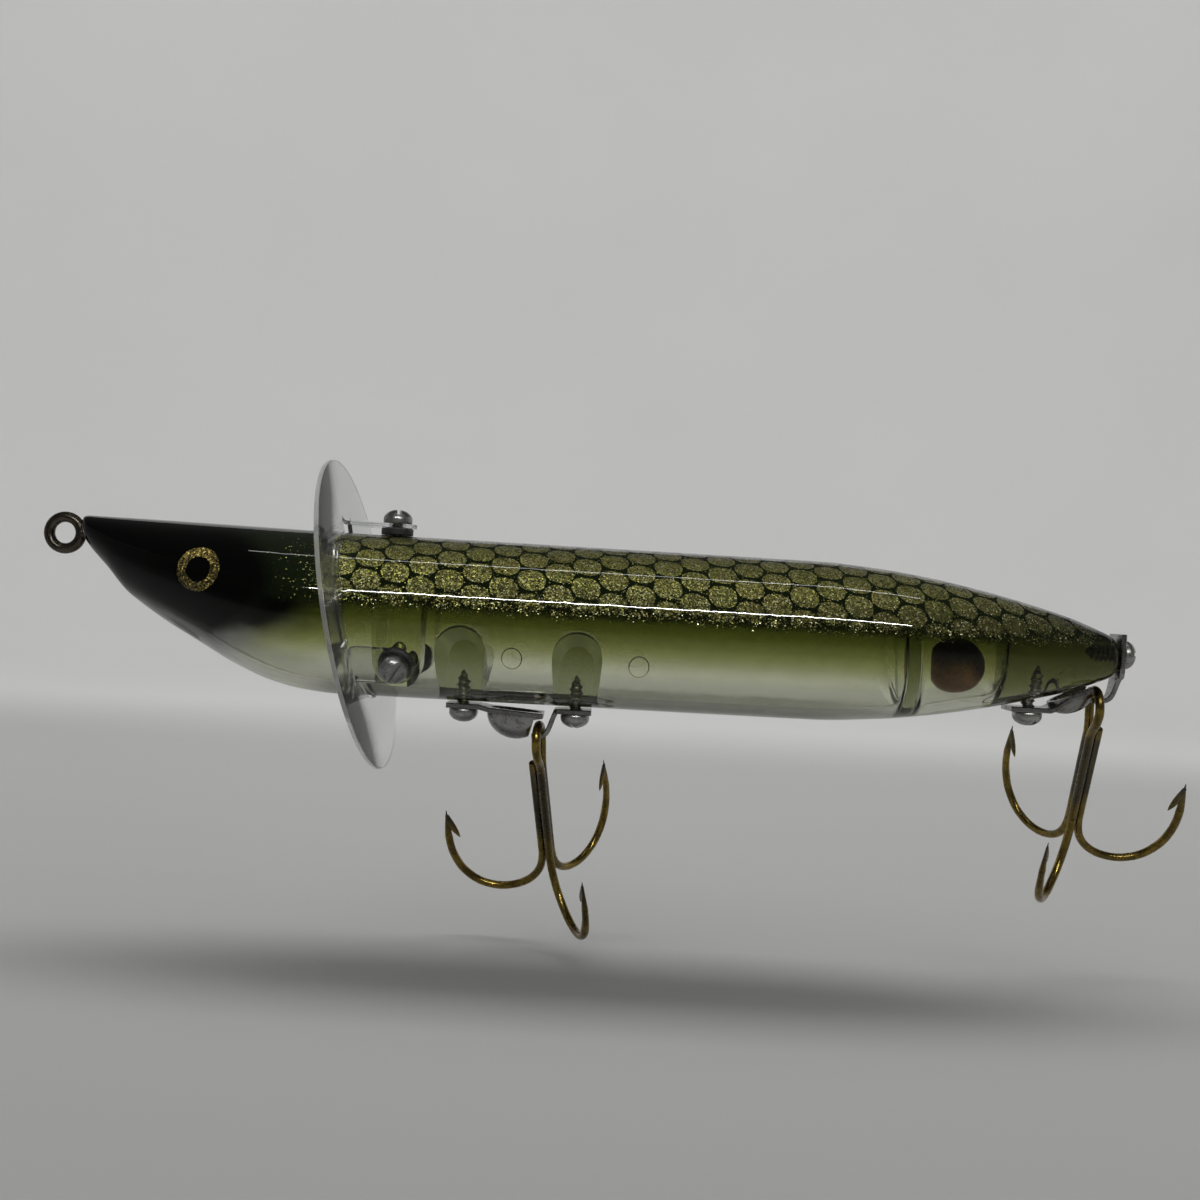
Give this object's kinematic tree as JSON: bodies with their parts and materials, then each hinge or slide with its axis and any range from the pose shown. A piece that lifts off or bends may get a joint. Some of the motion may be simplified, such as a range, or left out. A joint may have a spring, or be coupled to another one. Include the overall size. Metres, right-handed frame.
{
  "type": "topwater lure",
  "caption": "Hollow clear-plastic surface lure with a sloped head, raked round collar plate, swinging treble hooks and a sliding rattle ball.",
  "frame": {"origin": "centre of the line-tie ring in front of the nose", "axes": "+X from nose to tail along the body, +Z towards the back of the lure, +Y towards its right flank"},
  "size_m": [0.1914, 0.0538, 0.077],
  "materials": {
    "clear_body": "clear moulded plastic, dark green back and gold-glitter scales sprayed on the outside, glossy topcoat",
    "clear_sheet": "clear bent sheet, glossy",
    "black_spacer": "matt black",
    "zinc_hardware": "dull zinc plate",
    "bronzed_wire": "bronzed, satin gloss",
    "black_nickel": "dark plated wire",
    "copper_ball": "dull copper"
  },
  "bodies": {
    "lure_body": {"body_left_half": "clear_body", "body_right_half": "clear_body", "line_tie_screw_eye": "black_nickel", "collar_plate": "clear_sheet", "collar_spacer_top": "black_spacer", "collar_spacer_left": "black_spacer", "collar_spacer_right": "black_spacer", "collar_screw_top": "zinc_hardware", "collar_screw_left": "zinc_hardware", "collar_screw_right": "zinc_hardware", "front_hanger_scoop": "zinc_hardware", "front_hanger_loop": "zinc_hardware", "front_hanger_screw_front": "zinc_hardware", "front_hanger_screw_rear": "zinc_hardware", "tail_hanger_scoop": "zinc_hardware", "tail_hanger_loop": "zinc_hardware", "tail_hanger_screw_belly": "zinc_hardware", "tail_hanger_screw_tail": "zinc_hardware"},
    "front_treble": {"front_treble_double_hook": "bronzed_wire", "front_treble_single_hook": "bronzed_wire"},
    "rear_treble": {"rear_treble_double_hook": "bronzed_wire", "rear_treble_single_hook": "bronzed_wire"},
    "rattle": {"rattle_ball": "copper_ball"}
  },
  "joints": [
    {"name": "front_treble_swing", "type": "hinge", "parent": "lure_body", "child": "front_treble", "pos_m": [0.0782, 0, -0.0292], "axis": [1, 0, 0], "range_deg": [-108, 42]},
    {"name": "rear_treble_swing", "type": "hinge", "parent": "lure_body", "child": "rear_treble", "pos_m": [0.1675, 0, -0.0184], "axis": [1, 0, 0], "range_deg": [-108, 42]},
    {"name": "rattle_ball_slide", "type": "slide", "parent": "lure_body", "child": "rattle", "axis": [0.9813, -0.1067, 0.16], "range_m": [-0.0033, 0.0008]}
  ]
}
